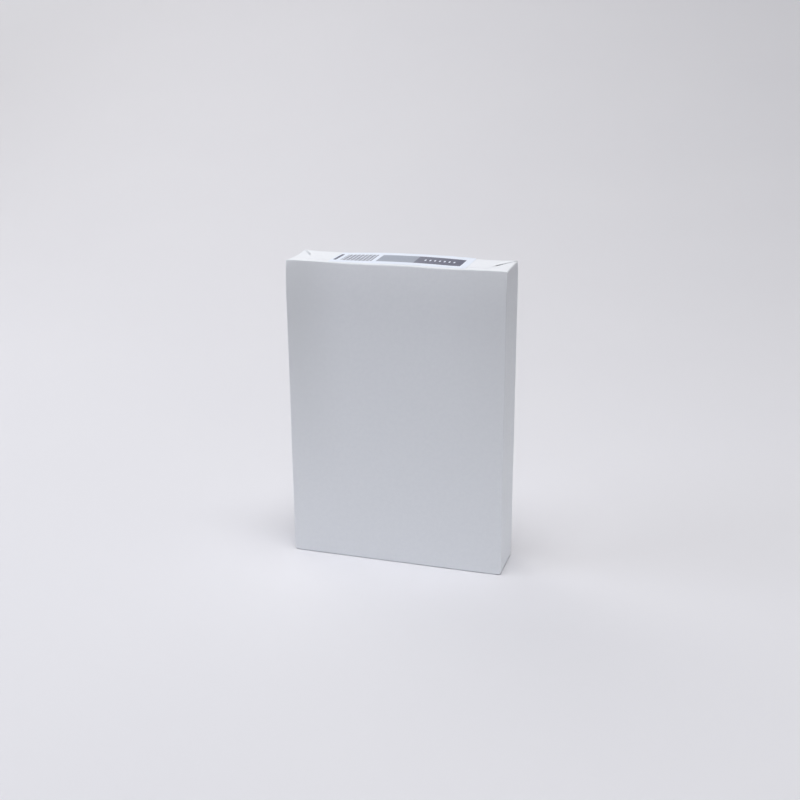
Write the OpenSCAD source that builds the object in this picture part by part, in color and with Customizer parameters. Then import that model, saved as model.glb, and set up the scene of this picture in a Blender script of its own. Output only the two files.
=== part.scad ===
// Ream of A4 copier paper in a plain white paper wrapper, standing on its short end.
// X runs across the width, Y from the front broad face to the back one, Z up.
// The origin is at the middle of the footprint, on the surface that the ream stands on.
// All sizes are in millimetres.

/* [Paper stack] */
// Width of a sheet
sheet_w = 210; // [180:1:300]
// Length of a sheet, which stands upright
sheet_l = 297; // [200:1:450]
// Thickness of one sheet
sheet_t = 0.1; // [0.085:0.001:0.12]
// Number of sheets in the stack
sheet_count = 500; // [450:10:600]

/* [Wrapper] */
// Thickness of the wrapping paper
wrap_t = 0.13; // [0.08:0.01:0.3]
// Air between the stack's long edges and the wrapper, on each narrow side
side_air = 1.7; // [0.1:0.05:3]
// Air between the stack's faces and the wrapper, on each broad side
face_air = 0.1; // [0:0.05:1]
// Radius to which the wrapper rounds every outer edge
edge_r = 0.9; // [0.6:0.1:1.6]

/* [Lap seam on the back] */
// Width over which the wrapper's two long edges overlap
seam_lap = 24; // [10:1:40]
// Distance of the free edge from the middle of the back, towards the left seen from behind
seam_offset = 34; // [-30:1:60]
// Length over which the outer layer settles where the inner layer ends beneath it
seam_fade = 3; // [1:0.5:8]

/* [Folded ends] */
// Rise from one folded layer to the next
fold_t = 0.3; // [0.15:0.05:0.8]
// How far the tucked-in side reaches in from the narrow side, at the middle of the depth
tuck_in = 15.5; // [8:0.5:25]
// Distance from a flap's free edge to the far edge of the end
flap_stop = 10.5; // [6:0.5:18]

/* [Crown of the top end] */
// How far the loose flaps swell up at the back edge
crown_back = 2.2; // [1:0.1:5]
// How far they swell up at the front edge
crown_front = 0.5; // [0.2:0.1:0.9]
// Length of the swelling along the back edge
crown_l = 134; // [110:1:170]
// Distance of its middle from the ream's middle, towards the right
crown_shift = 7; // [-8:1:9]

/* [End label] */
// Length of the stuck-on label
label_l = 132; // [124:1:150]
// Distance of its middle from the ream's middle, towards the right
label_shift = 1; // [-5:1:5]
// Thickness of the label with its glue
label_t = 0.15; // [0.1:0.01:0.4]
// Distance of the label's long edge from the front of the end
label_front = 4.5; // [3:0.5:9.5]
// Distance of its other long edge from the back of the end
label_back = 2; // [1.7:0.1:5]
// Radius of the label's corners
label_corner_r = 1.2; // [0.2:0.1:4]

/* [Print on the label] */
// Thickness of the printed film
ink_t = 0.05; // [0.03:0.01:0.1]
// Margin between the print and the label's front edge
print_front = 8.5; // [4:0.5:9]
// Margin between the print and the label's back edge
print_back = 9.5; // [4:0.5:10]
// Margin between the rule and the label's left end
rule_margin = 2; // [1:0.5:5]
// Width of the thick rule
rule_w = 2.9; // [1:0.1:4]
// Gap between the rule and the bars
rule_gap = 4.3; // [1:0.1:6]
// Length of the field of bars
bars_l = 30.5; // [18:0.5:36]
// Width of the narrowest bar
bar_unit = 0.35; // [0.3:0.05:1]
// Gap between the bars and the grey field
field_gap = 4.5; // [2:0.5:8]
// Length of the dark field
dark_l = 44.5; // [30:0.5:50]
// Margin between the dark field and the label's right end
dark_margin = 7; // [3:0.5:10]
// Smallest margin between the row of marks and each end of the dark field
mark_margin = 6; // [3:0.5:10]
// Width of one plain mark left clear in the dark field
mark_w = 1.6; // [1.4:0.1:4]
// Height of a mark
mark_h = 4.5; // [3:0.5:12]
// Gap between two marks
mark_gap = 3; // [1:0.1:5]
// Radius of a mark's corners
mark_corner_r = 0.5; // [0.2:0.1:0.6]

/* [Hidden] */
$fn = 96;

// Outer sizes of the wrapped pack, with both ends folded flat
pack_w = sheet_w + 2 * (side_air + wrap_t);
pack_d = sheet_count * sheet_t + 2 * (face_air + wrap_t);
pack_h = sheet_l + 2 * (wrap_t + 2 * fold_t);

// Swelling of the top end: a slice of a very wide, slightly conical drum
crown_r = (pow(crown_l / 2, 2) + pow(crown_back, 2)) / (2 * crown_back);
drum_drop = crown_back + 1;
drum_angle = acos(1 - drum_drop / crown_r);
drum_depth = 20;
drum_steps = 1440;
crown_lean = atan((crown_back - crown_front) / pack_d);

// Levels of the top end's layers above its tucked-in sides
inner_level = fold_t;
outer_level = 2 * fold_t;

// Label and print along the end, measured from the ream's middle
label_x = label_shift - label_l / 2;
label_y = -pack_d / 2 + label_front;
label_d = pack_d - label_front - label_back;
print_y = label_y + print_front;
print_d = label_d - print_front - print_back;
bars_x = label_x + rule_margin + rule_w + rule_gap;
grey_x = bars_x + bars_l + field_gap;
dark_x = label_x + label_l - dark_margin - dark_l;
mark_count = floor((dark_l - 2 * mark_margin + mark_gap) / (mark_w + mark_gap));
over_all = 40;

// Flaps: the slant of their sides, and where the outer flap's free edge lies
tuck_slope = tuck_in / (pack_d / 2);
free_edge_y = -pack_d / 2 + flap_stop;

// Points of an arc about a centre, from one angle to another
function arc(centre, r, from, to, steps = 6) =
    [for (i = [0:steps]) centre + r * [cos(from + (to - from) * i / steps), sin(from + (to - from) * i / steps)]];

// Bars and gaps of one, two or three units, in an even mixture that follows no code
function bar_width(i) = bar_unit * (1 + (i * 5 + 1) % 3);
function bar_space(i) = bar_unit * (1 + (i * i + 2) % 3);
bars = [
    for (i = 0, x = 0; x + bar_width(i) <= bars_l; x = x + bar_width(i) + bar_space(i), i = i + 1)
        [x, bar_width(i)]
];

// Rectangle about the origin with rounded corners
module rounded_rect(w, h, r) {
    square([w, h - 2 * r], center = true);
    square([w - 2 * r, h], center = true);
    for (x = [-1, 1], y = [-1, 1]) {
        translate([x * (w / 2 - r), y * (h / 2 - r)]) circle(r);
    }
}

// The pack as one block with rounded edges, its two ends raised to a layer's level
module block(level) {
    bottom = outer_level - level;
    height = pack_h - 2 * bottom;
    intersection() {
        translate([0, 0, bottom]) linear_extrude(height) rounded_rect(pack_w, pack_d, edge_r);
        translate([0, pack_d / 2, bottom + height / 2]) rotate([90, 0, 0])
            linear_extrude(pack_d) rounded_rect(pack_w, height, edge_r);
        translate([-pack_w / 2, 0, bottom + height / 2]) rotate([90, 0, 90])
            linear_extrude(pack_w) rounded_rect(pack_d, height, edge_r);
    }
}

// Slice through the crown from front to back: the radius runs across, the depth runs up.
// Its outer side leans from the low front edge to the high back edge.
module crown_slice(level) {
    front = [crown_r + level - crown_back + crown_front, -pack_d / 2];
    back = [crown_r + level, pack_d / 2];
    polygon(concat(
        [[front[0] - drum_depth, front[1]]],
        arc(front + edge_r * [-1, 1], edge_r, -90, -crown_lean),
        arc(back + edge_r * [-1, -1], edge_r, -crown_lean, 90),
        [[front[0] - drum_depth, back[1]]]
    ));
}

// The crown swept along the end, about an axis far below it
module crown(level) {
    flat_top = pack_h - outer_level + level;
    translate([crown_shift, 0, flat_top + crown_back - crown_r - level])
        rotate([-90, 0, 0]) rotate([0, 0, -90 - drum_angle])
            rotate_extrude(angle = 2 * drum_angle, $fn = drum_steps) crown_slice(level);
}

// Everything up to one layer's level, crown included
module up_to(level) {
    block(level);
    crown(level);
}

// Outline of a flap folded over from the back (side = 1) or from the front (side = -1).
// Its two slanted sides run in from the corners, where the narrow sides are tucked under.
module flap_outline(side) {
    reach = pack_d - flap_stop;
    inset = reach * tuck_slope;
    scale_y = side * pack_d / 2;
    polygon([
        [-pack_w / 2, scale_y],
        [pack_w / 2, scale_y],
        [pack_w / 2 - inset, scale_y - side * reach],
        [-pack_w / 2 + inset, scale_y - side * reach]
    ]);
}

// Column through the whole pack above and below a flap
module flap_column(side) {
    translate([0, 0, -over_all]) linear_extrude(pack_h + 2 * over_all) flap_outline(side);
}

// Strip along the back where the wrapper lies double. Its free edge is a sharp step,
// and its other side fades out over the hidden edge.
module seam_strip() {
    y = pack_d / 2;
    translate([0, 0, -over_all]) linear_extrude(pack_h + 2 * over_all)
        polygon([
            [seam_offset, y - edge_r],
            [seam_offset, y + wrap_t],
            [seam_offset - seam_lap, y + wrap_t],
            [seam_offset - seam_lap - seam_fade, y],
            [seam_offset - seam_lap - seam_fade, y - edge_r]
        ]);
}

// The sealed pack: stack and wrapper as one solid, with folded ends, crown and lap seam
module wrapped_ream() {
    color([0.93, 0.94, 0.96]) {
        block(0);
        intersection() {
            up_to(inner_level);
            flap_column(-1);
        }
        intersection() {
            up_to(outer_level);
            flap_column(1);
        }
        intersection() {
            translate([0, wrap_t, 0]) up_to(outer_level);
            seam_strip();
        }
    }
}

// A sheet laid over the top end: the 2D outline given, from one height above the layer to another
module laid_sheet(level, from, to) {
    difference() {
        intersection() {
            up_to(level + to);
            translate([0, 0, pack_h - over_all / 2]) linear_extrude(over_all) children();
        }
        up_to(level + from);
    }
}

// White sticker that holds the outer flap down. It steps over the flap's free edge
// and sticks to the inner flap in front of it.
module end_label() {
    color([0.97, 0.98, 1])
        difference() {
            intersection() {
                union() {
                    up_to(inner_level + label_t);
                    intersection() {
                        up_to(outer_level + label_t);
                        translate([-pack_w, free_edge_y - label_t, 0])
                            cube([2 * pack_w, 2 * pack_d, 2 * pack_h]);
                    }
                }
                translate([label_x + label_l / 2, label_y + label_d / 2, pack_h - over_all / 2])
                    linear_extrude(over_all) rounded_rect(label_l, label_d, label_corner_r);
            }
            up_to(inner_level);
            intersection() {
                up_to(outer_level);
                flap_column(1);
            }
        }
}

// Field of grey ink between the bars and the dark field
module label_grey_print() {
    color([0.62, 0.65, 0.71])
        laid_sheet(outer_level, label_t, label_t + ink_t)
            translate([grey_x, print_y]) square([dark_x - grey_x, print_d]);
}

// Row of plain marks that the dark ink leaves clear
module marks() {
    pitch = mark_w + mark_gap;
    for (i = [0:mark_count - 1]) {
        translate([dark_x + dark_l / 2 + (i - (mark_count - 1) / 2) * pitch, print_y + print_d / 2])
            rounded_rect(mark_w, mark_h, mark_corner_r);
    }
}

// Dark ink: a thick rule, a field of bars, and a field with the marks left clear
module label_dark_print() {
    color([0.2, 0.22, 0.29])
        laid_sheet(outer_level, label_t, label_t + ink_t) {
            translate([label_x + rule_margin, print_y]) square([rule_w, print_d]);
            for (bar = bars) {
                translate([bars_x + bar[0], print_y]) square([bar[1], print_d]);
            }
            difference() {
                translate([dark_x, print_y]) square([dark_l, print_d]);
                marks();
            }
        }
}

wrapped_ream();
end_label();
label_grey_print();
label_dark_print();
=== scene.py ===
from math import cos, exp, pi, radians, sin, sqrt, tan

import bpy
from mathutils import Matrix, Vector, noise


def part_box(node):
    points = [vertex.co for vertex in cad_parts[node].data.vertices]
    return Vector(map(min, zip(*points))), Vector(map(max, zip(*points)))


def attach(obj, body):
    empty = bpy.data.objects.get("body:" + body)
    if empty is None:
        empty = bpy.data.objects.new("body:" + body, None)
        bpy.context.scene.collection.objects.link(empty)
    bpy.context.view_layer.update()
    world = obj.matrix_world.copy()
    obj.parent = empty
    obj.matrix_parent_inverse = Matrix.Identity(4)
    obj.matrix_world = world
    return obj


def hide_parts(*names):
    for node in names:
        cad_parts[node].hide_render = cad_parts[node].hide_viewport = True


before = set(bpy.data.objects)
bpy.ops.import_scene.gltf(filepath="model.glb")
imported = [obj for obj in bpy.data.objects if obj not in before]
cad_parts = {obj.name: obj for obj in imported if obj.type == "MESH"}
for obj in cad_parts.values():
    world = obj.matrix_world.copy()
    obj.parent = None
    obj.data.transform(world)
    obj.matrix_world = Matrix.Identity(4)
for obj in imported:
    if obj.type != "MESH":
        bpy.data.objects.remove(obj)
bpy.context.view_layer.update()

# The camera stands a good metre off, a little to the right of the front face and above it,
# so the front, the labelled end and a sliver of the right narrow side show.
azimuth, elevation, roll = radians(17.286), radians(17.795), radians(-0.355)
distance, focal_px, frame_px = 1.1241, 1155.0, 800
centre = Vector((0, 0, 0.14923))
aim_right, aim_up = -0.00152, 0.01172
back = Vector((sin(azimuth) * cos(elevation), -cos(azimuth) * cos(elevation), sin(elevation)))
right = Vector((cos(azimuth), sin(azimuth), 0))
up = back.cross(right)
aim = centre + aim_right * right + aim_up * up
tilted_right = right * cos(roll) + up * sin(roll)
tilted_up = up * cos(roll) - right * sin(roll)
camera_data = bpy.data.cameras.new("camera")
camera_data.sensor_fit = "HORIZONTAL"
camera_data.sensor_width = 36
camera_data.lens = camera_data.sensor_width * focal_px / frame_px
camera = bpy.data.objects.new("camera", camera_data)
camera.matrix_world = (
    Matrix.Translation(aim + distance * back)
    @ Matrix((tilted_right, tilted_up, back)).transposed().to_4x4()
)
bpy.context.scene.collection.objects.link(camera)
bpy.context.scene.camera = camera

# The ream stands on a pale seamless sweep, which fades into a pale surround away from it.
# Two large softboxes light it from above and weaker ones from the left and behind, and two
# low strips graze the floor in front.
bpy.context.scene.view_settings.view_transform = "Standard"


def new_object(name, vertices, faces, material=None):
    mesh = bpy.data.meshes.new(name)
    mesh.from_pydata(vertices, [], faces)
    mesh.validate()
    mesh.update()
    if material:
        mesh.materials.append(material)
    mesh.polygons.foreach_set("use_smooth", [True] * len(mesh.polygons))
    made = bpy.data.objects.new(name, mesh)
    bpy.context.scene.collection.objects.link(made)
    return made


def add_node(tree, kind, inputs=None, **settings):
    """Add a node with its settings, and give each input a value or a link from another socket."""
    made = tree.nodes.new(kind)
    for name, value in settings.items():
        setattr(made, name, value)
    for key, value in (inputs or {}).items():
        if isinstance(value, bpy.types.NodeSocket):
            tree.links.new(value, made.inputs[key])
        else:
            made.inputs[key].default_value = value
    return made


def new_material(name, roughness):
    material = bpy.data.materials.new(name)
    material.use_nodes = True
    shader = material.node_tree.nodes["Principled BSDF"]
    shader.inputs["Roughness"].default_value = roughness
    return material, material.node_tree, shader


def combine(tree, operation, a, b=0.5):
    return add_node(tree, "ShaderNodeMath", {0: a, 1: b}, operation=operation).outputs[0]


def times(tree, a, b):
    return combine(tree, "MULTIPLY", a, b)


def remap(tree, value, low, high, new_low=0.0, new_high=1.0):
    made = add_node(
        tree, "ShaderNodeMapRange",
        {"Value": value, "From Min": low, "From Max": high, "To Min": new_low, "To Max": new_high},
        interpolation_type="SMOOTHSTEP",
    )
    return made.outputs["Result"]


def shown_rays(tree):
    """1 for the rays that show the background, straight or by gloss or glass, and 0 for its light."""
    rays = add_node(tree, "ShaderNodeLightPath").outputs
    straight_or_gloss = combine(tree, "MAXIMUM", rays["Is Camera Ray"], rays["Is Glossy Ray"])
    return combine(tree, "MAXIMUM", straight_or_gloss, rays["Is Transmission Ray"])


surround = (0.74, 0.74, 0.775, 1)
lit_middle, lit_reach, lit_fade = (-0.4, 0.9, 0), 1.9, 1.2
sweep_half_width = 6.0
sweep_front, sweep_back, sweep_radius, sweep_height = -4.0, 3.6, 2.8, 5.0
curve_start, curve_steps = sweep_back - sweep_radius, 12
sweep_profile = [(sweep_front, 0), (0, 0), (curve_start, 0)]
for k in range(1, curve_steps + 1):
    turn = k * pi / (2 * curve_steps)
    sweep_profile.append((curve_start + sweep_radius * sin(turn), sweep_radius * (1 - cos(turn))))
sweep_profile.append((sweep_back, sweep_height))
sweep_vertices = [(x, y, z) for y, z in sweep_profile for x in (-sweep_half_width, sweep_half_width)]
sweep_faces = [(2 * i, 2 * i + 1, 2 * i + 3, 2 * i + 2) for i in range(len(sweep_profile) - 1)]

sweep_dull, sweep_light = (0.755, 0.75, 0.785, 1), (0.775, 0.77, 0.80, 1)
sweep_paint, tree, shader = new_material("sweep_paint", 0.9)
place = add_node(tree, "ShaderNodeTexCoord").outputs["Object"]
cloud = add_node(tree, "ShaderNodeTexNoise", {"Vector": place, "Scale": 3.0, "Detail": 2.0})
paint = add_node(tree, "ShaderNodeMix", {0: cloud.outputs[0]}, data_type="RGBA")
paint.inputs["A"].default_value = sweep_dull
paint.inputs["B"].default_value = sweep_light
tree.links.new(paint.outputs["Result"], shader.inputs["Base Color"])
from_lit = add_node(tree, "ShaderNodeVectorMath", {0: place, 1: lit_middle}, operation="DISTANCE")
far_off = remap(tree, from_lit.outputs["Value"], lit_reach, lit_reach + lit_fade)
glow = add_node(tree, "ShaderNodeEmission", {"Color": surround})
fade = times(tree, far_off, shown_rays(tree))
faded = add_node(tree, "ShaderNodeMixShader", {0: fade, 1: shader.outputs[0], 2: glow.outputs[0]})
tree.links.new(faded.outputs[0], tree.nodes["Material Output"].inputs["Surface"])
sweep = new_object("sweep", sweep_vertices, sweep_faces, sweep_paint)


def softbox(name, place, target, size, watts, colour, spread=180):
    lamp = bpy.data.lights.new(name, "AREA")
    lamp.shape = "RECTANGLE"
    lamp.size, lamp.size_y = size
    lamp.energy = watts
    lamp.color = colour
    lamp.spread = radians(spread)
    box = bpy.data.objects.new(name, lamp)
    box.location = place
    box.rotation_euler = (Vector(target) - Vector(place)).to_track_quat("-Z", "Y").to_euler()
    bpy.context.scene.collection.objects.link(box)


ream_middle, ream_foot = (0, 0, 0.15), (0, 0, -0.01)
large, medium, strip_spread = (2.0, 2.0), (1.6, 1.6), 26
softbox("overhead_right", (0.5, -0.5, 4.2), ream_middle, large, 80, (1, 1, 1))
softbox("overhead_front", (0, -1.1, 4.2), ream_middle, large, 59, (0.985, 0.99, 1))
softbox("left", (-2.0, -0.9, 1.3), ream_middle, (1.5, 1.5), 14.4, (0.86, 0.90, 1))
softbox("back_left", (-1.4, 1.4, 2.2), (-1.4, 1.4, 0), medium, 13.6, (1, 0.99, 0.98))
softbox("back_far_left", (-2.4, 1.8, 2.2), (-2.4, 1.8, 0), medium, 10.3, (1, 0.98, 0.95))
softbox("low_front", (1.2, -1.2, 0.1), ream_foot, (1.6, 0.12), 0.21, (0.92, 0.97, 1), strip_spread)
softbox("low_right", (1.7, -0.5, 0.1), ream_foot, (1.2, 0.12), 0.15, (0.96, 0.99, 1), strip_spread)

studio = bpy.data.worlds.new("studio")
bpy.context.scene.world = studio
studio.use_nodes = True
sky = studio.node_tree.nodes["Background"]
sky.inputs["Color"].default_value = surround
studio.node_tree.links.new(shown_rays(studio.node_tree), sky.inputs["Strength"])

# The stack in its wrapper: 500 sheets folded into one sheet of white coated paper.
# The wrapper is drawn tight round the edges, so each broad face pillows a little in between,
# and its two long edges lap over each other down the back.
ream_low, ream_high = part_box("wrapped_ream")
half_w, half_d = ream_high.x, -ream_low.y
crown_back, crown_front, crown_length, crown_middle = 0.0022, 0.0005, 0.134, 0.007
end_top = ream_high.z - crown_back
fold_step = 0.0003
body_top, body_bottom = end_top - 2 * fold_step, 2 * fold_step
edge_r, edge_steps = 0.0009, 4
grid_pitch, edge_line = 0.0032, 0.0013
tuck_in, tuck_dip_left, tuck_dip_right, tuck_dip_spread = 0.0155, 0.0007, 0.0002, 0.8
seam_edge, seam_lap, seam_fade, seam_rise, seam_cut = 0.034, 0.024, 0.003, 0.00013, 0.00003
lap_lift, lap_lift_reach, lap_pitch, lap_seed = 0.0004, 0.005, 0.035, 7.7
slack_side, slack_side_reach, slack_side_pitch, slack_side_mean = 0.00036, 0.010, 0.07, 1.2
slack_top, slack_top_reach = 0.0016, 0.014
slack_bottom, slack_bottom_reach = 0.0003, 0.010
ridge, ridge_drop, ridge_reach = 0.0007, 0.028, 0.024
wide_wave, wide_pitch, fine_wave, fine_pitch, still_edge = 0.00014, 0.09, 0.00005, 0.035, 0.03
corner_dent, corner_dent_r, dent_in, dent_down, dent_pitch = 0.00028, 0.005, 0.007, 0.009, 0.2
narrow_slack, narrow_slack_reach = 0.00016, 0.004
narrow_end, narrow_end_reach, narrow_turn, narrow_turn_reach = 0.00018, 0.012, 0.0003, 0.002
narrow_wave, narrow_pitch, narrow_still = 0.00012, 0.02, 0.008
end_roll, end_roll_reach = 0.0004, 0.0016
soft_fold_r, soft_fold_half, soft_fold_fade = 0.0017, 0.045, 0.045
fold_clearance, clearance_below, clearance_above = 0.0006, 0.0003, 0.0006
ear_left, ear_right, ear_along, ear_across = 0.0014, 0.0010, 0.009, 0.014
uneven_sheets, uneven_low, uneven_high, uneven_half = 0.0008, 0.215, 0.25, 0.0045
uneven_in, uneven_slant = 0.0065, 0.25
front_seed, back_seed, left_seed, right_seed = 1.0, 21.0, 41.0, 61.0
back_slack, ripple_stretch = 0.4, 1.4


def smooth_step(low, high, value):
    t = min(max((value - low) / (high - low), 0), 1)
    return t * t * (3 - 2 * t)


def ripple(x, z, pitch, seed):
    """A smooth random height from -1 to 1, for the slackness of paper that spans a flat stack."""
    return noise.noise(Vector((x / pitch, z / (ripple_stretch * pitch), seed)))


def lap_height(x, z):
    """How far the doubled wrapper stands proud of the back face at a place across it."""
    start = smooth_step(seam_edge - seam_lap - seam_fade, seam_edge - seam_lap, x)
    if x > seam_edge or start == 0:
        return 0
    loose = 0.5 + 0.5 * ripple(z, 0, lap_pitch, lap_seed)
    lift = lap_lift * loose * smooth_step(seam_edge - lap_lift_reach, seam_edge, x)
    return seam_rise * start + lift


def broad_sink(x, z, seed):
    """How far a broad face lies inside its flat plane: drawn in at its edges, dented, and rippled."""
    from_side, from_top = half_w - abs(x), end_top - z
    uneven = slack_side_mean + ripple(z, 0, slack_side_pitch, seed + 5)
    side = slack_side * exp(-from_side / slack_side_reach) * uneven
    slack = back_slack if seed == back_seed else 1
    top = slack * slack_top * exp(-from_top / slack_top_reach)
    bottom = slack_bottom * exp(-z / slack_bottom_reach)
    hollow = slack * ridge * (1 - exp(-((from_top - ridge_drop) / ridge_reach) ** 2))
    from_end = min(z, from_top)
    inside = smooth_step(0, still_edge, from_side) * smooth_step(0, still_edge, from_end)
    waves = wide_wave * (1 + ripple(x, z, wide_pitch, seed))
    waves += fine_wave * (1 + ripple(x, z, fine_pitch, seed + 3))
    from_corner = sqrt((from_side - dent_in) ** 2 + (from_end - dent_down) ** 2)
    depth = corner_dent * (0.6 + 0.4 * ripple(x, z, dent_pitch, seed + 9))
    dent = depth * exp(-(from_corner / corner_dent_r) ** 2)
    return side + top + bottom + hollow + waves * inside + dent


def narrow_sink(y, z, seed):
    """The same for a narrow side, where the wrapper spans the cut edges of the sheets."""
    from_edge, from_end = half_d - abs(y), min(z, end_top - z)
    side = narrow_slack * exp(-from_edge / narrow_slack_reach)
    end = narrow_end * exp(-from_end / narrow_end_reach)
    end += narrow_turn * exp(-from_end / narrow_turn_reach)
    waves = narrow_wave * (1 + ripple(y, 0.3 * z, narrow_pitch, seed))
    waves *= smooth_step(0, narrow_still, from_edge)
    line = half_d - uneven_in - uneven_slant * (end_top - z)
    proud = smooth_step(line - uneven_half, line + uneven_half, y)
    hollow = uneven_sheets * (1 - proud) * smooth_step(-half_d, 0, y)
    return side + end + waves + hollow * smooth_step(uneven_low, uneven_high, z)


def ear_rise(x, y):
    """How far the springy folds at the two back corners of the top end stand up."""
    ear = ear_left if x < 0 else ear_right
    return ear * exp(-((half_w - abs(x)) / ear_along) ** 2 - ((half_d - y) / ear_across) ** 2)


def end_sink(x, y):
    """How far a tucked-in side is pushed down, deepest at the apex where the flaps' edges meet."""
    reach = half_w - abs(x)
    across = 1 - abs(y) / half_d
    dip = tuck_dip_left if x < 0 else tuck_dip_right
    roll = end_roll * exp(-reach / end_roll_reach)
    return roll + dip * smooth_step(0, tuck_in, reach) * smooth_step(0, tuck_dip_spread, across)


def axis_lines(half, extra=()):
    """Grid lines along one axis: close together where the edges turn, wide apart between them."""
    inner = half - edge_r
    turn = [edge_r * tan(radians(45) * k / edge_steps) for k in range(edge_steps + 1)]
    span = inner - edge_line
    count = max(1, round(2 * span / grid_pitch))
    between = [-span + 2 * span * k / count for k in range(count + 1)]
    between = [v for v in between if all(abs(v - e) > grid_pitch / 5 for e in extra)]
    return sorted([-inner - t for t in turn] + between + list(extra) + [inner + t for t in turn])


def rounded_block(half_sizes, lines, shape):
    """A closed block with rounded edges, each point of its surface moved by a function."""
    index, vertices, faces = {}, [], []
    same_point = 1e-7

    def corner(point):
        key = tuple(round(c / same_point) for c in point)
        if key not in index:
            inner = Vector([max(-h + edge_r, min(h - edge_r, c)) for h, c in zip(half_sizes, point)])
            normal = (Vector(point) - inner).normalized()
            index[key] = len(vertices)
            vertices.append(shape(inner + normal * edge_r))
        return index[key]

    for axis in range(3):
        u, v = (axis + 1) % 3, (axis + 2) % 3
        for side in (-1, 1):
            for i in range(len(lines[u]) - 1):
                for j in range(len(lines[v]) - 1):
                    face = []
                    for a, b in ((i, j), (i + 1, j), (i + 1, j + 1), (i, j + 1)):
                        point = [0, 0, 0]
                        point[axis] = side * half_sizes[axis]
                        point[u], point[v] = lines[u][a], lines[v][b]
                        face.append(corner(point))
                    faces.append(face if side > 0 else face[::-1])
    return vertices, faces


body_half = (half_w, half_d, (body_top - body_bottom) / 2)
body_middle = Vector((0, 0, (body_top + body_bottom) / 2))


def fold_softness(x):
    """1 where the crown pulls the folds of the top end wide open, 0 where they are crisp."""
    return smooth_step(soft_fold_half + soft_fold_fade, soft_fold_half, abs(x - crown_middle))


def body_shape(point):
    """A point of the tight block, moved to where the slack wrapper lies."""
    x, y, z = point + body_middle
    broad = broad_sink(x, z, front_seed if y < 0 else back_seed) - (lap_height(x, z) if y > 0 else 0)
    fold_z = body_top - soft_fold_r
    under_fold = smooth_step(fold_z - clearance_below, fold_z + clearance_above, z)
    broad += fold_clearance * fold_softness(x) * under_fold
    narrow = narrow_sink(y, z, left_seed if x < 0 else right_seed)
    end = end_sink(x, y) - (ear_rise(x, y) if point.z > 0 else 0)
    shrink = Vector((1 - narrow / half_w, 1 - broad / half_d, 1 - end / body_half[2]))
    return point * shrink + body_middle


lap_start = seam_edge - seam_lap
lap_middle = seam_edge - lap_lift_reach / 2
lap_lines = (lap_start - seam_fade, lap_start, lap_middle, seam_edge, seam_edge + seam_cut)
body_vertices, body_faces = rounded_block(
    body_half,
    (axis_lines(half_w, lap_lines), axis_lines(half_d), axis_lines(body_half[2])),
    body_shape,
)

# The folded ends: an inner flap hinged at the front edge and an outer flap hinged at the back.
# Both are glued down over the tucked-in sides, and the top ones swell up in the middle.
flap_stop, hinge_in = 0.0105, 0.0008
paper_t, proud = 0.00013, 0.000012
flap_tail = ((0.0045, -proud), (0.003, proud / 3), (0.0015, proud))
flap_columns, flap_rows, strip_steps, fold_turns = 96, 30, 3, 6
hinge_half = half_w - hinge_in
crown_r = ((crown_length / 2) ** 2 + crown_back ** 2) / (2 * crown_back)
crown_blend = 0.00012
tuck_reach, tuck_ply, ply_inside, ply_outside = 0.038, 0.00010, 0.002, 0.001
end_wave, end_pitch, end_seed = 0.00005, 0.02, 81.0
lift_left, lift_right, lift_reach, settle_reach = 0.0008, 0.00015, 0.005, 0.006
lift_from_left, lift_from_right, lift_full = 0.023, 0.016, 0.004
inner_edge_share, outer_settle, outer_edge_rise, apex_blend = 0.65, 0.00015, 0.00014, 0.004
tuck_bend = 0.020


def crown_height(x, y):
    """Height of the top end's swelling: a wide arc along the end, highest at the back edge."""
    lean = crown_front + (crown_back - crown_front) * (y + half_d) / (2 * half_d)
    arc = lean - (x - crown_middle) ** 2 / (2 * crown_r)
    return (arc + sqrt(arc * arc + crown_blend * crown_blend)) / 2


def flap_inset(travel):
    """How far in a flap's slanted edge has come, after a travel from the fold that it hinges on."""
    return tuck_in * (1 - exp(-max(travel, 0) / tuck_bend)) / (1 - exp(-half_d / tuck_bend))


def flap_level(side, x, y):
    """Height of a flap's outside above the tucked-in sides. It lies down close to its slanted edges."""
    gap = hinge_half - flap_inset(half_d - side * y) - abs(x)
    past_apex = smooth_step(apex_blend, -apex_blend, side * y)
    if side < 0:
        middle, edge = fold_step, inner_edge_share * fold_step
    else:
        middle = 2 * fold_step - outer_settle * past_apex
        edge = fold_step + outer_edge_rise * past_apex
    return edge + (middle - edge) * smooth_step(0, settle_reach, gap)


def end_height(side, x, y, top):
    """Height of a flap's outside above the body, with the plies beneath it showing through."""
    level = flap_level(side, x, y) - end_roll * exp(-(half_w - abs(x)) / end_roll_reach)
    if not top:
        return level
    ply_end = half_w - tuck_reach
    plies = tuck_ply * smooth_step(ply_end - ply_inside, ply_end + ply_outside, abs(x))
    waves = end_wave * ripple(x, y, end_pitch, end_seed + side)
    return level + plies + waves + ear_rise(x, y) + crown_height(x, y)


def wall_y(side, x, z):
    """Place of the front (side -1) or back wall, rounded off towards the upright edges."""
    sink = broad_sink(x, z, front_seed if side < 0 else back_seed)
    sink -= lap_height(x, z) if side > 0 else 0
    narrow = narrow_sink(side * half_d, z, left_seed if x < 0 else right_seed)
    over = abs(x) + narrow - (half_w - edge_r)
    turn = edge_r - sqrt(max(edge_r ** 2 - over ** 2, 0)) if over > 0 else 0
    return side * (half_d - sink - turn)


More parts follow.
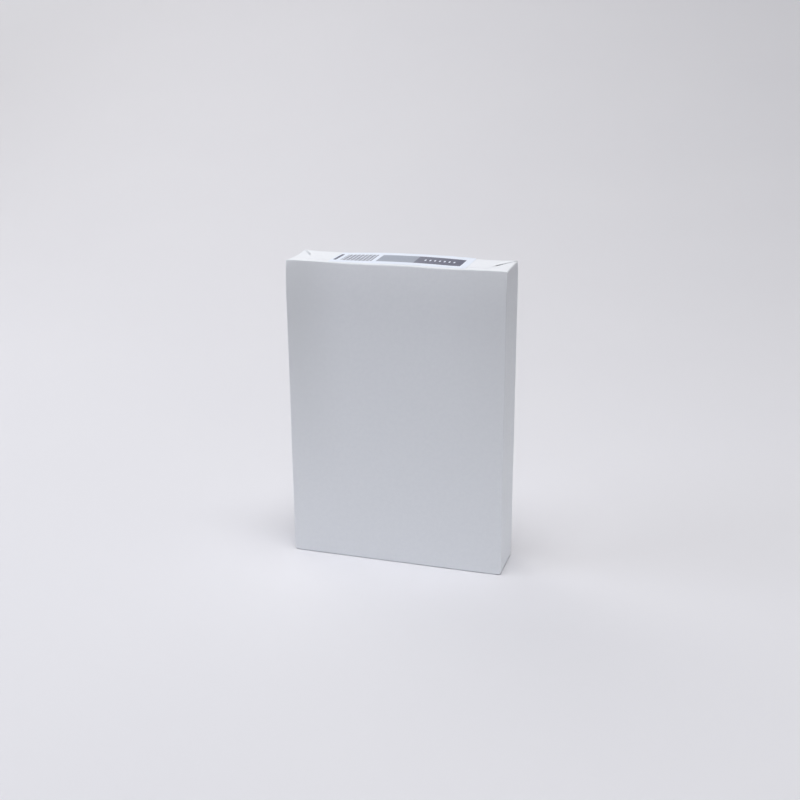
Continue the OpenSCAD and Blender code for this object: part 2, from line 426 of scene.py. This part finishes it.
def sheet_solid(grid, thickness):
    """A closed thin sheet under a grid of points, which runs anticlockwise seen from outside."""
    rows, columns = len(grid), len(grid[0])
    normals = []
    for i in range(rows):
        for j in range(columns):
            along = grid[min(i + 1, rows - 1)][j] - grid[max(i - 1, 0)][j]
            across = grid[i][min(j + 1, columns - 1)] - grid[i][max(j - 1, 0)]
            normals.append(along.cross(across).normalized())
    vertices = [p for row in grid for p in row]
    vertices += [p - n * thickness for p, n in zip(vertices, normals)]
    below = rows * columns
    faces = []
    for i in range(rows - 1):
        for j in range(columns - 1):
            a, b = i * columns + j, (i + 1) * columns + j
            c, d = b + 1, a + 1
            faces.append((a, b, c, d))
            faces.append((d + below, c + below, b + below, a + below))
    rim = list(range(columns))
    rim += [i * columns + columns - 1 for i in range(1, rows)]
    rim += [(rows - 1) * columns + j for j in range(columns - 2, -1, -1)]
    rim += [i * columns for i in range(rows - 2, 0, -1)]
    for a, b in zip(rim, rim[1:] + rim[:1]):
        faces.append((a, b, b + below, a + below))
    return vertices, faces


def flap(side, top):
    """One folded flap: up the wall it hinges on, over the edge, and flat across the end."""
    start = body_top - soft_fold_r
    reach = 2 * half_d - flap_stop
    grid = []
    for i in range(flap_columns + 1):
        u = 2 * i / flap_columns - 1
        column = []
        x = u * hinge_half
        edge_z = body_top + end_height(side, x, side * half_d, top)
        fold_r = edge_r + (soft_fold_r - edge_r) * (fold_softness(x) if top else 0)
        levels = [(start - down, out) for down, out in flap_tail]
        strip = edge_z - fold_r - start
        levels += [(start + k * strip / strip_steps, proud) for k in range(strip_steps + 1)]
        for z, out in levels:
            wall = wall_y(side, x, z if top else body_top + body_bottom - z)
            column.append(Vector((x, wall + side * out, z)))
        for k in range(1, fold_turns + 1):
            turn = radians(90 * k / fold_turns)
            back_y = wall + side * (proud - fold_r * (1 - cos(turn)))
            column.append(Vector((x, back_y, edge_z - fold_r * (1 - sin(turn)))))
        for k in range(1, flap_rows + 1):
            travel = fold_r + (reach - fold_r) * k / flap_rows
            narrow = 1 - flap_inset(travel - fold_r) / hinge_half
            px, py = x * narrow, side * (half_d - travel)
            py += (wall - side * half_d) * (1 - k / flap_rows)
            near_edge = smooth_step(lift_reach, 0, (1 - abs(u)) * hinge_half * narrow)
            if travel < half_d:
                lift_from = lift_from_left if x < 0 else lift_from_right
                near_apex = smooth_step(lift_from, lift_full, half_d - travel)
            else:
                near_apex = smooth_step(lift_full, 0, travel - half_d)
            lift = (lift_left if x < 0 else lift_right) * near_edge * near_apex
            height = end_height(side, px, py, top) + (lift if top and side > 0 else 0)
            column.append(Vector((px, py, body_top + height)))
        grid.append(column)
    if side < 0:
        grid = grid[::-1]
    vertices, faces = sheet_solid(grid[::-1], paper_t)
    if not top:
        vertices = [Vector((v.x, v.y, body_top + body_bottom - v.z)) for v in vertices]
        faces = [face[::-1] for face in faces]
    return vertices, faces


wrapper_vertices, wrapper_faces = list(body_vertices), [tuple(f) for f in body_faces]
for side, top in ((-1, True), (1, True), (-1, False), (1, False)):
    vertices, faces = flap(side, top)
    offset = len(wrapper_vertices)
    wrapper_vertices += vertices
    wrapper_faces += [tuple(i + offset for i in face) for face in faces]

# The wrapper's paper: bleached kraft with a thin satin coat on its outside. Its fibres show
# as a fine tooth and faint clouds, and its edges and corners are rubbed by handling.


def new_group(name, sockets_in, sockets_out):
    """A shader node group with its sockets: each input is a name, a type and a first value."""
    group = bpy.data.node_groups.new(name, "ShaderNodeTree")
    for label, kind, value in sockets_in:
        socket = group.interface.new_socket(label, in_out="INPUT", socket_type="NodeSocket" + kind)
        socket.default_value = value
    for label, kind in sockets_out:
        group.interface.new_socket(label, in_out="OUTPUT", socket_type="NodeSocket" + kind)
    entry = group.nodes.new("NodeGroupInput").outputs
    leave = group.nodes.new("NodeGroupOutput").inputs
    return group, entry, leave


def blend(tree, factor, first, second):
    made = add_node(tree, "ShaderNodeMix", {"Factor": factor}, data_type="RGBA")
    for key, colour in (("A", first), ("B", second)):
        if isinstance(colour, bpy.types.NodeSocket):
            tree.links.new(colour, made.inputs[key])
        else:
            made.inputs[key].default_value = (*colour, 1)
    return made.outputs["Result"]


# Tooth of the fibres and the clouds that they form
paper_grain, given, leave = new_group(
    "paper_grain",
    [("Fibre Length", "Float", 0.0012), ("Cloud Size", "Float", 0.004)],
    [("Tooth", "Float"), ("Clouds", "Float")],
)
place = add_node(paper_grain, "ShaderNodeTexCoord").outputs["Object"]
along = add_node(paper_grain, "ShaderNodeMapping", {"Vector": place, "Scale": (1, 1, 0.4)}).outputs[0]
fibre_scale = combine(paper_grain, "DIVIDE", 1.0, given["Fibre Length"])
fibres = add_node(
    paper_grain, "ShaderNodeTexNoise",
    {"Vector": along, "Scale": fibre_scale, "Detail": 3.0, "Roughness": 0.6},
)
cloud_scale = combine(paper_grain, "DIVIDE", 1.0, given["Cloud Size"])
clouds = add_node(
    paper_grain, "ShaderNodeTexNoise",
    {"Vector": place, "Scale": cloud_scale, "Detail": 4.0, "Roughness": 0.65},
)
paper_grain.links.new(fibres.outputs[0], leave["Tooth"])
paper_grain.links.new(remap(paper_grain, clouds.outputs[0], 0.3, 0.7), leave["Clouds"])

# Faint rubs left by other reams and by hands
rub_marks, given, leave = new_group(
    "rub_marks",
    [("Length", "Float", 0.03), ("Width", "Float", 0.0015), ("Cover", "Float", 0.35)],
    [("Mask", "Float")],
)
place = add_node(rub_marks, "ShaderNodeTexCoord").outputs["Object"]
length_scale = combine(rub_marks, "DIVIDE", 1.0, given["Length"])
width_scale = combine(rub_marks, "DIVIDE", 1.0, given["Width"])
stretch = add_node(
    rub_marks, "ShaderNodeCombineXYZ", {"X": length_scale, "Y": length_scale, "Z": width_scale}
)
rub_slant, streak_none, streak_full = (0.35, 0.5, 0.1), 0.55, 0.72
patch_scale, cover_low, cover_swing, cover_full = 14.0, 0.72, 0.4, 0.75
turned = add_node(rub_marks, "ShaderNodeMapping", {"Vector": place, "Rotation": rub_slant})
drawn_out = add_node(
    rub_marks, "ShaderNodeVectorMath", {0: turned.outputs[0], 1: stretch.outputs[0]},
    operation="MULTIPLY",
)
streaks = add_node(
    rub_marks, "ShaderNodeTexNoise", {"Vector": drawn_out.outputs[0], "Scale": 1.0, "Detail": 2.0}
)
patches = add_node(
    rub_marks, "ShaderNodeTexNoise", {"Vector": place, "Scale": patch_scale, "Detail": 1.0}
)
cover_edge = combine(rub_marks, "SUBTRACT", cover_low, times(rub_marks, given["Cover"], cover_swing))
thin = remap(rub_marks, streaks.outputs[0], streak_none, streak_full)
where = add_node(
    rub_marks, "ShaderNodeMapRange",
    {"Value": patches.outputs[0], "From Min": cover_edge, "From Max": cover_full},
    interpolation_type="SMOOTHSTEP",
).outputs["Result"]
rub_marks.links.new(times(rub_marks, thin, where), leave["Mask"])

paper_white, paper_cloud = (0.835, 0.852, 0.885), (0.815, 0.832, 0.868)
paper_rubbed, paper_shaded = (0.76, 0.775, 0.81), (0.50, 0.51, 0.54)
paper_margin_shade, paper_doubled = (0.70, 0.715, 0.735), (0.875, 0.89, 0.915)
wrapping_paper, tree, shader = new_material("wrapping_paper", 0.5)
grain = add_node(tree, "ShaderNodeGroup", node_tree=paper_grain)
rubs = add_node(tree, "ShaderNodeGroup", node_tree=rub_marks)
cloudy = blend(tree, grain.outputs["Clouds"], paper_white, paper_cloud)
place = add_node(tree, "ShaderNodeTexCoord").outputs["Object"]
apart = add_node(tree, "ShaderNodeSeparateXYZ", {0: place}).outputs
from_side = combine(tree, "SUBTRACT", half_w, combine(tree, "ABSOLUTE", apart[0]))
from_face = combine(tree, "SUBTRACT", half_d, combine(tree, "ABSOLUTE", apart[1]))
from_end = combine(tree, "MINIMUM", apart[2], combine(tree, "SUBTRACT", end_top, apart[2]))
nearest_pair = combine(tree, "MINIMUM", from_side, from_face)
farthest_pair = combine(tree, "MAXIMUM", from_side, from_face)
edge_gap = combine(tree, "MAXIMUM", nearest_pair, combine(tree, "MINIMUM", farthest_pair, from_end))

# The lap of the seam down the back: whiter where it is double, with a shadow along its cut edge
back_none, back_full, lap_soft, seam_share = 0.005, 0.004, 0.00005, 0.6
shadow_out, shadow_none, shadow_full = 0.0002, 0.0007, 0.0001
on_back = remap(tree, apart[1], half_d - back_none, half_d - back_full)
lap_begins = remap(tree, apart[0], lap_start - seam_fade, lap_start)
lap_ends = remap(tree, apart[0], seam_edge + lap_soft, seam_edge)
doubled = times(tree, times(tree, lap_begins, lap_ends), on_back)
two_ply = blend(tree, times(tree, doubled, seam_share), cloudy, paper_doubled)
from_cut = combine(tree, "ABSOLUTE", combine(tree, "SUBTRACT", apart[0], seam_edge + shadow_out))
cut_shadow = times(tree, remap(tree, from_cut, shadow_none, shadow_full), on_back)
seamed = blend(tree, times(tree, cut_shadow, seam_share), two_ply, paper_shaded)

# Painted shade: the broad faces turn greyer towards their upright edges, more so higher up, and most at
# the left
margin_shade_reach, margin_shade_face_none, margin_shade_face_full = 0.07, 0.003, 0.0015
margin_shade_low_z, margin_shade_high_z, margin_shade_left, margin_shade_right = 0.03, 0.27, 0.75, 0.3
beside_edge = remap(tree, from_side, margin_shade_reach, 0.0)
margin_shade_mask = times(tree, beside_edge, remap(tree, from_face, margin_shade_face_none, margin_shade_face_full))
margin_shade_by_height = times(tree, margin_shade_mask, remap(tree, apart[2], margin_shade_low_z, margin_shade_high_z))
margin_shade_amount = remap(tree, apart[0], -half_w, half_w, margin_shade_left, margin_shade_right)
margin_shaded = blend(tree, times(tree, margin_shade_by_height, margin_shade_amount), seamed, paper_margin_shade)

# Painted shade: the outer flap's slanted edge at the left stands off a little, and a thin grey line is
# painted on the paper beside it for the shade in that slit
slit_none, slit_full, slit_share = 0.001, 0.0002, 0.65
slit_apex_fade, slit_back_none, slit_back_full = 0.004, 0.001, 0.004
slit_end_none, slit_end_full = 0.004, 0.003
bend_share = tuck_in / (1 - exp(-half_d / tuck_bend))
travel_share = times(tree, combine(tree, "SUBTRACT", apart[1], half_d), 1 / tuck_bend)
decay = combine(tree, "EXPONENT", travel_share)
inset = times(tree, combine(tree, "SUBTRACT", 1.0, decay), bend_share)
slit_x = combine(tree, "SUBTRACT", inset, hinge_half)
from_slit = combine(tree, "ABSOLUTE", combine(tree, "SUBTRACT", apart[0], slit_x))
past_apex = remap(tree, apart[1], 0.0, slit_apex_fade)
off_back = remap(tree, apart[1], half_d - slit_back_none, half_d - slit_back_full)
on_end = remap(tree, apart[2], end_top - slit_end_none, end_top - slit_end_full)
slit_span = times(tree, times(tree, past_apex, off_back), on_end)
slit_shade = times(tree, remap(tree, from_slit, slit_none, slit_full), slit_span)
shaded = blend(tree, times(tree, slit_shade, slit_share), margin_shaded, paper_shaded)

# Edges and corners rubbed by handling
wear_reach, wear_scale, wear_none, wear_full, wear_share = 0.0016, 260.0, 0.42, 0.62, 0.7
wear_noise = add_node(
    tree, "ShaderNodeTexNoise", {"Vector": place, "Scale": wear_scale, "Detail": 3.0}
)
near_edge = remap(tree, edge_gap, wear_reach, 0.0)
worn = times(tree, near_edge, remap(tree, wear_noise.outputs[0], wear_none, wear_full))
rubbed = blend(tree, times(tree, worn, wear_share), shaded, paper_rubbed)
tree.links.new(rubbed, shader.inputs["Base Color"])
coat_gloss, cloud_dull, rub_dull, worn_dull = 0.46, 0.06, 0.12, 0.15
gloss = combine(tree, "ADD", coat_gloss, times(tree, grain.outputs["Clouds"], cloud_dull))
duller = combine(tree, "ADD", gloss, times(tree, rubs.outputs["Mask"], rub_dull))
dullest = combine(tree, "ADD", duller, times(tree, worn, worn_dull))
tree.links.new(dullest, shader.inputs["Roughness"])
tooth = add_node(
    tree, "ShaderNodeBump", {"Height": grain.outputs["Tooth"], "Strength": 0.25, "Distance": 0.00003}
)
crinkle_reach, crinkle_scale = 0.012, 120.0
crinkle_noise = add_node(
    tree, "ShaderNodeTexNoise", {"Vector": place, "Scale": crinkle_scale, "Detail": 4.0}
)
crinkle_swing = combine(tree, "SUBTRACT", crinkle_noise.outputs[0], 0.5)
crinkle_height = times(tree, crinkle_swing, remap(tree, edge_gap, crinkle_reach, 0.0))
crinkle = add_node(
    tree, "ShaderNodeBump",
    {"Height": crinkle_height, "Strength": 0.5, "Distance": 0.0002, "Normal": tooth.outputs[0]},
)
tree.links.new(crinkle.outputs[0], shader.inputs["Normal"])

wrapper = new_object("wrapper", wrapper_vertices, wrapper_faces, wrapping_paper)
crease_angle = radians(50)
wrapper.data.set_sharp_from_angle(angle=crease_angle)
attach(wrapper, "root")
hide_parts("wrapped_ream")

# The end label: a smooth white sticker across the folds of the top end. It holds the outer
# flap down, steps over that flap's free edge, and sticks to the inner flap in front of it.
label_low, label_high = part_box("end_label")
label_t, glue_sink = 0.00012, 0.00004
label_corner_r, label_corner_steps = 0.0012, 5
label_columns, label_rows = 132, 46
free_edge = flap_stop - half_d
step_half = 0.0005
lift_back, lift_end, lift_fade, lift_end_fade = 0.00055, 0.0002, 0.004, 0.0056
loose_from, loose_to = crown_middle + 0.022, crown_middle + 0.036
loose_back_pitch, loose_end_pitch, loose_back_seed, loose_end_seed = 0.011, 0.012, 91.0, 95.0


def label_height(x, y):
    """Height of the label's outside: the flaps under it, and a loose back edge and right end."""
    inner, outer = end_height(-1, x, y, True), end_height(1, x, max(y, free_edge), True)
    over = smooth_step(free_edge - step_half, free_edge + step_half, y)
    back_gap, right_gap = label_high.y - y, label_high.x - x
    back_uneven = 0.6 + ripple(x, 0, loose_back_pitch, loose_back_seed)
    loose_back = lift_back * smooth_step(lift_fade, 0, back_gap) * back_uneven
    loose_back *= smooth_step(loose_from, loose_to, x)
    end_uneven = 0.6 + ripple(y, 0, loose_end_pitch, loose_end_seed)
    loose_right = lift_end * smooth_step(lift_end_fade, 0, right_gap) * end_uneven
    under = body_top + inner + (outer - inner) * over
    return under + label_t + max(loose_back, 0) + max(loose_right, 0)


def label_point(u, v):
    """A point of the label's outside, from its place in the sheet: both run from 0 to 1."""
    y = label_low.y + (label_high.y - label_low.y) * v
    end_gap = min(y - label_low.y, label_high.y - y)
    pull = 0
    if end_gap < label_corner_r:
        pull = label_corner_r - sqrt(max(label_corner_r ** 2 - (label_corner_r - end_gap) ** 2, 0))
    low, high = label_low.x + pull, label_high.x - pull
    x = low + (high - low) * u
    return Vector((x, y, label_height(x, y)))


row_lines = [1 - cos(pi / 2 * k / label_corner_steps) for k in range(label_corner_steps + 1)]
corner_rows = [label_corner_r * r / (label_high.y - label_low.y) for r in row_lines]
row_places = sorted(
    corner_rows + [1 - r for r in corner_rows]
    + [corner_rows[-1] + (1 - 2 * corner_rows[-1]) * k / label_rows for k in range(1, label_rows)]
)
label_grid = [
    [label_point(i / label_columns, v) for v in row_places] for i in range(label_columns + 1)
]
label_vertices, label_faces = sheet_solid(label_grid, label_t + glue_sink)

label_white, label_cloud = (0.81, 0.86, 0.96), (0.795, 0.845, 0.945)
label_grain = {"Fibre Length": 0.0006, "Cloud Size": 0.0025}
label_rubs = {"Length": 0.012, "Width": 0.0008, "Cover": 0.6}
label_gloss, label_rub_dull = 0.38, 0.2
label_paper, tree, shader = new_material("label_paper", 0.4)
grain = add_node(tree, "ShaderNodeGroup", label_grain, node_tree=paper_grain)
rubs = add_node(tree, "ShaderNodeGroup", label_rubs, node_tree=rub_marks)
whites = blend(tree, grain.outputs["Clouds"], label_white, label_cloud)
tree.links.new(whites, shader.inputs["Base Color"])
gloss = combine(tree, "ADD", label_gloss, times(tree, rubs.outputs["Mask"], label_rub_dull))
tree.links.new(gloss, shader.inputs["Roughness"])
tooth = add_node(
    tree, "ShaderNodeBump", {"Height": grain.outputs["Tooth"], "Strength": 0.15, "Distance": 0.00002}
)
tree.links.new(tooth.outputs[0], shader.inputs["Normal"])
label = new_object("label", label_vertices, label_faces, label_paper)
label.data.set_sharp_from_angle(angle=crease_angle)
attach(label, "root")
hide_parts("end_label")

# The print on the label: a thick rule, a row of plain bars, a grey field, and a dark field
# that leaves a row of plain marks clear. The ink is a film that follows the label.
grey_low, grey_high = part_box("label_grey_print")
dark_low, dark_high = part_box("label_dark_print")
ink_t, ink_sink = 0.00003, 0.00002
rule_w, rule_gap, bars_l, bar_unit = 0.0029, 0.0043, 0.0305, 0.00035
mark_w, mark_h, mark_gap, mark_corner_r, mark_margin = 0.0016, 0.0045, 0.003, 0.0005, 0.006
print_d, print_middle = dark_high.y - dark_low.y, (dark_high.y + dark_low.y) / 2


def geometry_tree(name, sockets):
    """A geometry tree with its inputs: each is a name, a type and a first value."""
    tree = bpy.data.node_groups.new(name, "GeometryNodeTree")
    tree.is_modifier = True
    for label, kind, value in sockets:
        socket = tree.interface.new_socket(label, in_out="INPUT", socket_type="NodeSocket" + kind)
        if value is not None:
            socket.default_value = value
    tree.interface.new_socket("Geometry", in_out="OUTPUT", socket_type="NodeSocketGeometry")
    entry = tree.nodes.new("NodeGroupInput").outputs
    leave = tree.nodes.new("NodeGroupOutput").inputs
    return tree, entry, leave


def rectangle(tree, width, height, x, y):
    """A closed rectangular outline with its middle at a place."""
    outline = add_node(
        tree, "GeometryNodeCurvePrimitiveQuadrilateral", {"Width": width, "Height": height}
    )
    spot = add_node(tree, "ShaderNodeCombineXYZ", {"X": x, "Y": y})
    moved = add_node(
        tree, "GeometryNodeTransform", {"Geometry": outline.outputs[0], "Translation": spot.outputs[0]}
    )
    return moved.outputs[0]


def joined(tree, pieces):
    made = tree.nodes.new("GeometryNodeJoinGeometry")
    for piece in pieces:
        tree.links.new(piece, made.inputs[0])
    return made.outputs[0]


def ink_film(tree, outlines, given):
    """Fill outlines, lay them on the label and give them the thickness of the film."""
    filled = add_node(tree, "GeometryNodeFillCurve", {"Curve": outlines})
    finer = add_node(tree, "GeometryNodeSubdivideMesh", {"Mesh": filled.outputs[0], "Level": 3})
    position = add_node(tree, "GeometryNodeInputPosition").outputs[0]
    apart = add_node(tree, "ShaderNodeSeparateXYZ", {0: position}).outputs
    above = add_node(tree, "ShaderNodeCombineXYZ", {"X": apart[0], "Y": apart[1], "Z": 1.0})
    label_mesh = add_node(tree, "GeometryNodeObjectInfo", {"Object": given["Label"]})
    ray = add_node(
        tree, "GeometryNodeRaycast",
        {
            "Target Geometry": label_mesh.outputs["Geometry"], "Source Position": above.outputs[0],
            "Ray Direction": (0, 0, -1), "Ray Length": 2.0,
        },
    )
    sunk = add_node(
        tree, "ShaderNodeVectorMath", {0: ray.outputs["Hit Position"], 1: (0, 0, -ink_sink)},
        operation="ADD",
    )
    laid = add_node(
        tree, "GeometryNodeSetPosition", {"Geometry": finer.outputs[0], "Position": sunk.outputs[0]}
    )
    rise = combine(tree, "ADD", given["Ink Thickness"], ink_sink)
    thick = add_node(
        tree, "GeometryNodeExtrudeMesh",
        {"Mesh": laid.outputs[0], "Offset": (0, 0, 1), "Offset Scale": rise, "Individual": False},
        mode="FACES",
    )
    base = add_node(tree, "GeometryNodeFlipFaces", {"Mesh": laid.outputs[0]})
    closed = add_node(
        tree, "GeometryNodeMergeByDistance",
        {"Geometry": joined(tree, (thick.outputs["Mesh"], base.outputs[0])), "Distance": 1e-6},
    )
    return closed.outputs[0]


def finish_tree(tree, geometry, material, leave):
    real = add_node(tree, "GeometryNodeRealizeInstances", {"Geometry": geometry})
    coated = add_node(
        tree, "GeometryNodeSetMaterial", {"Geometry": real.outputs[0], "Material": material}
    )
    tree.links.new(coated.outputs[0], leave[0])


def grown(name, tree, values):
    """An object with the plain mesh that a geometry tree makes from the given inputs."""
    source = bpy.data.objects.new(name, bpy.data.meshes.new(name + "_source"))
    bpy.context.scene.collection.objects.link(source)
    modifier = source.modifiers.new(name, "NODES")
    modifier.node_group = tree
    for item in tree.interface.items_tree:
        if item.in_out == "INPUT":
            modifier[item.identifier] = values[item.name]
    bpy.context.view_layer.update()
    evaluated = source.evaluated_get(bpy.context.evaluated_depsgraph_get())
    mesh = bpy.data.meshes.new_from_object(evaluated)
    mesh.name = name
    source.modifiers.remove(modifier)
    source.data = mesh
    mesh.polygons.foreach_set("use_smooth", [True] * len(mesh.polygons))
    mesh.set_sharp_from_angle(angle=crease_angle)
    return source


tint_colour = (0.27, 0.28, 0.33)
ink_grain, ink_rub_dull = {"Fibre Length": 0.0005, "Cloud Size": 0.0018}, 0.2


def remap_straight(tree, value, low, high):
    made = add_node(tree, "ShaderNodeMapRange", {"Value": value, "From Min": low, "From Max": high})
    return made.outputs["Result"]


def ink(name, colour, thin_colour, gloss, tints=()):
    """Printing ink on label paper: not quite even, glossier than the paper, thinner where tinted."""
    material, tree, shader = new_material(name, gloss)
    grain = add_node(tree, "ShaderNodeGroup", ink_grain, node_tree=paper_grain)
    rubs = add_node(tree, "ShaderNodeGroup", label_rubs, node_tree=rub_marks)
    uneven = blend(tree, grain.outputs["Clouds"], colour, thin_colour)
    if tints:
        place = add_node(tree, "ShaderNodeTexCoord").outputs["Object"]
        along = add_node(tree, "ShaderNodeSeparateXYZ", {0: place}).outputs[0]
        first, last = tints[0][0], tints[-1][0]
        ramp = add_node(tree, "ShaderNodeValToRGB", {0: remap_straight(tree, along, first, last)})
        ramp.color_ramp.interpolation = "LINEAR"
        ramp.color_ramp.elements.remove(ramp.color_ramp.elements[1])
        for i, (x, tint) in enumerate(tints):
            spot = (x - first) / (last - first)
            stop = ramp.color_ramp.elements[0] if i == 0 else ramp.color_ramp.elements.new(spot)
            stop.position = spot
            stop.color = (tint, tint, tint, 1)
        uneven = blend(tree, ramp.outputs[0], uneven, tint_colour)
    rubbed = blend(tree, rubs.outputs["Mask"], uneven, thin_colour)
    tree.links.new(rubbed, shader.inputs["Base Color"])
    dull = combine(tree, "ADD", gloss, times(tree, rubs.outputs["Mask"], ink_rub_dull))
    tree.links.new(dull, shader.inputs["Roughness"])
    tooth = add_node(
        tree, "ShaderNodeBump", {"Height": grain.outputs["Tooth"], "Strength": 0.12, "Distance": 0.00002}
    )
    tree.links.new(tooth.outputs[0], shader.inputs["Normal"])
    return material


rule_end = dark_low.x + rule_w
bars_start = rule_end + rule_gap
bars_stop = bars_start + bars_l
bars_tint, field_tint = 0.43, 0.33
dark_tints = [
    (dark_low.x, 0.0), (rule_end, 0.0), (bars_start, bars_tint), (bars_stop, bars_tint),
    (grey_high.x, field_tint), (dark_high.x, 0.0),
]
grey_ink = ink("grey_ink", (0.28, 0.31, 0.375), (0.318, 0.348, 0.414), 0.4)
dark_ink = ink("dark_ink", (0.04, 0.043, 0.085), (0.07, 0.075, 0.12), 0.4, dark_tints)

common_inputs = [("Label", "Object", None), ("Ink Thickness", "Float", ink_t)]
grey_tree, given, leave = geometry_tree(
    "grey_field",
    common_inputs + [
        ("Length", "Float", 0.04), ("Depth", "Float", 0.025), ("Middle", "Float", 0.0),
    ],
)
field = rectangle(grey_tree, given["Length"], given["Depth"], given["Middle"], print_middle)
finish_tree(grey_tree, ink_film(grey_tree, field, given), grey_ink, leave)
grey_print = grown("grey_print", grey_tree, {
    "Label": label, "Ink Thickness": ink_t, "Length": grey_high.x - grey_low.x,
    "Depth": print_d, "Middle": (grey_high.x + grey_low.x) / 2,
})


def bar_width(i):
    return bar_unit * (1 + (i * 5 + 1) % 3)


def bar_space(i):
    return bar_unit * (1 + (i * i + 2) % 3)


bar_count, bars_end = 0, 0.0
while bars_end + bar_width(bar_count) <= bars_l:
    bars_end += bar_width(bar_count) + bar_space(bar_count)
    bar_count += 1
dark_length = dark_high.x - grey_high.x
mark_count = int((dark_length - 2 * mark_margin + mark_gap) / (mark_w + mark_gap))

dark_tree, given, leave = geometry_tree(
    "dark_print",
    common_inputs + [
        ("Depth", "Float", 0.025), ("Rule Width", "Float", 0.0023), ("Rule Middle", "Float", 0.0),
        ("Bar Unit", "Float", 0.0003), ("Bar Count", "Int", 20), ("Bars Start", "Float", 0.0),
        ("Field Length", "Float", 0.04), ("Field Middle", "Float", 0.0),
        ("Mark Width", "Float", 0.0026), ("Mark Height", "Float", 0.0075), ("Mark Gap", "Float", 0.0025),
        ("Mark Corner", "Float", 0.0007), ("Mark Count", "Int", 6),
    ],
)
rule = rectangle(dark_tree, given["Rule Width"], given["Depth"], given["Rule Middle"], print_middle)

# Bars and gaps of one, two or three units, in an even mixture that follows no code
index = add_node(dark_tree, "GeometryNodeInputIndex").outputs[0]
fivefold = combine(dark_tree, "ADD", times(dark_tree, index, 5.0), 1.0)
bar_units = combine(dark_tree, "ADD", combine(dark_tree, "MODULO", fivefold, 3.0), 1.0)
squared = combine(dark_tree, "ADD", times(dark_tree, index, index), 2.0)
space_units = combine(dark_tree, "ADD", combine(dark_tree, "MODULO", squared, 3.0), 1.0)
bar_wide = times(dark_tree, bar_units, given["Bar Unit"])
bar_pitch = times(dark_tree, combine(dark_tree, "ADD", bar_units, space_units), given["Bar Unit"])
run = add_node(
    dark_tree, "GeometryNodeAccumulateField", {"Value": bar_pitch}, data_type="FLOAT", domain="POINT"
)
bar_x = combine(
    dark_tree, "ADD", combine(dark_tree, "ADD", given["Bars Start"], run.outputs["Trailing"]),
    times(dark_tree, bar_wide, 0.5),
)
bar_spot = add_node(dark_tree, "ShaderNodeCombineXYZ", {"X": bar_x, "Y": print_middle})
bar_row = add_node(dark_tree, "GeometryNodeMeshLine", {"Count": given["Bar Count"]})
bar_points = add_node(
    dark_tree, "GeometryNodeSetPosition",
    {"Geometry": bar_row.outputs[0], "Position": bar_spot.outputs[0]},
)
unit_bar = add_node(
    dark_tree, "GeometryNodeCurvePrimitiveQuadrilateral", {"Width": 1.0, "Height": given["Depth"]}
)
bar_scale = add_node(dark_tree, "ShaderNodeCombineXYZ", {"X": bar_wide, "Y": 1.0, "Z": 1.0})
bars = add_node(
    dark_tree, "GeometryNodeInstanceOnPoints",
    {"Points": bar_points.outputs[0], "Instance": unit_bar.outputs[0], "Scale": bar_scale.outputs[0]},
)
real_bars = add_node(dark_tree, "GeometryNodeRealizeInstances", {"Geometry": bars.outputs[0]})

# The dark field, with the marks as holes in it
field = rectangle(dark_tree, given["Field Length"], given["Depth"], given["Field Middle"], print_middle)
mark_pitch = combine(dark_tree, "ADD", given["Mark Width"], given["Mark Gap"])
half_run = times(dark_tree, combine(dark_tree, "SUBTRACT", given["Mark Count"], 1.0), 0.5)
from_middle = times(dark_tree, combine(dark_tree, "SUBTRACT", index, half_run), mark_pitch)
mark_x = combine(dark_tree, "ADD", given["Field Middle"], from_middle)
mark_spot = add_node(dark_tree, "ShaderNodeCombineXYZ", {"X": mark_x, "Y": print_middle})
mark_row = add_node(dark_tree, "GeometryNodeMeshLine", {"Count": given["Mark Count"]})
mark_points = add_node(
    dark_tree, "GeometryNodeSetPosition",
    {"Geometry": mark_row.outputs[0], "Position": mark_spot.outputs[0]},
)
mark_outline = add_node(
    dark_tree, "GeometryNodeCurvePrimitiveQuadrilateral",
    {"Width": given["Mark Width"], "Height": given["Mark Height"]},
)
mark_rounded = add_node(
    dark_tree, "GeometryNodeFilletCurve",
    {"Curve": mark_outline.outputs[0], "Radius": given["Mark Corner"], "Count": 4}, mode="POLY",
)
marks = add_node(
    dark_tree, "GeometryNodeInstanceOnPoints",
    {"Points": mark_points.outputs[0], "Instance": mark_rounded.outputs[0]},
)
real_marks = add_node(dark_tree, "GeometryNodeRealizeInstances", {"Geometry": marks.outputs[0]})
outlines = joined(dark_tree, (rule, real_bars.outputs[0], field, real_marks.outputs[0]))
finish_tree(dark_tree, ink_film(dark_tree, outlines, given), dark_ink, leave)
dark_print = grown("dark_print", dark_tree, {
    "Label": label, "Ink Thickness": ink_t, "Depth": print_d,
    "Rule Width": rule_w, "Rule Middle": dark_low.x + rule_w / 2,
    "Bar Unit": bar_unit, "Bar Count": bar_count, "Bars Start": bars_start,
    "Field Length": dark_length, "Field Middle": (dark_high.x + grey_high.x) / 2,
    "Mark Width": mark_w, "Mark Height": mark_h, "Mark Gap": mark_gap,
    "Mark Corner": mark_corner_r, "Mark Count": mark_count,
})
for piece, node_name, slot_name in (
    (grey_print, "label_grey_print", "grey_ink"),
    (dark_print, "label_dark_print", "dark_ink"),
):
    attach(piece, "root")
    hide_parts(node_name)
